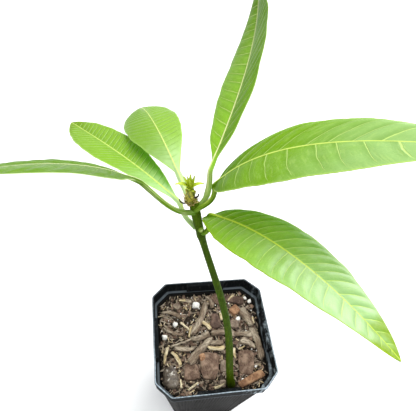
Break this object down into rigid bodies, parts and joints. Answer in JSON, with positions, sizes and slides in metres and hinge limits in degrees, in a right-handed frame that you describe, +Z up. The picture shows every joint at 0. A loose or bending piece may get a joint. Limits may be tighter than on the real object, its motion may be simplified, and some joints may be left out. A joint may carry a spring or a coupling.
{
  "type": "potted mango tree sapling",
  "caption": "Young mango tree with a slender leaning stem, a whorl of long pointed leaves and a growing tip, in a square black nursery pot of bark mix.",
  "frame": {"origin": "centre of the pot's flat underside", "axes": "+Z up, +X to the right and +Y to the back as the pot's front edge faces the viewer"},
  "size_m": [0.1773, 0.2015, 0.3635],
  "materials": {
    "pot_plastic": "thin black moulded plastic, satin to glossy, scuffed inside the rim",
    "potting_mix": "coarse grey-brown composted bark with straw-coloured slivers and white perlite",
    "stem_wood": "smooth dark green young bark",
    "young_leaf": "soft yellow-green leaflets over an olive bud",
    "leaf": "waxy bright green blade with a cream midrib and pale sunken veins"
  },
  "bodies": {
    "root": {"pot": "pot_plastic", "potting_mix": "potting_mix", "stem": "stem_wood", "shoot_tip": "young_leaf", "leaf_left": "leaf", "leaf_back_left": "leaf", "leaf_back": "leaf", "leaf_upright": "leaf", "leaf_right": "leaf", "leaf_front": "leaf"}
  },
  "joints": []
}
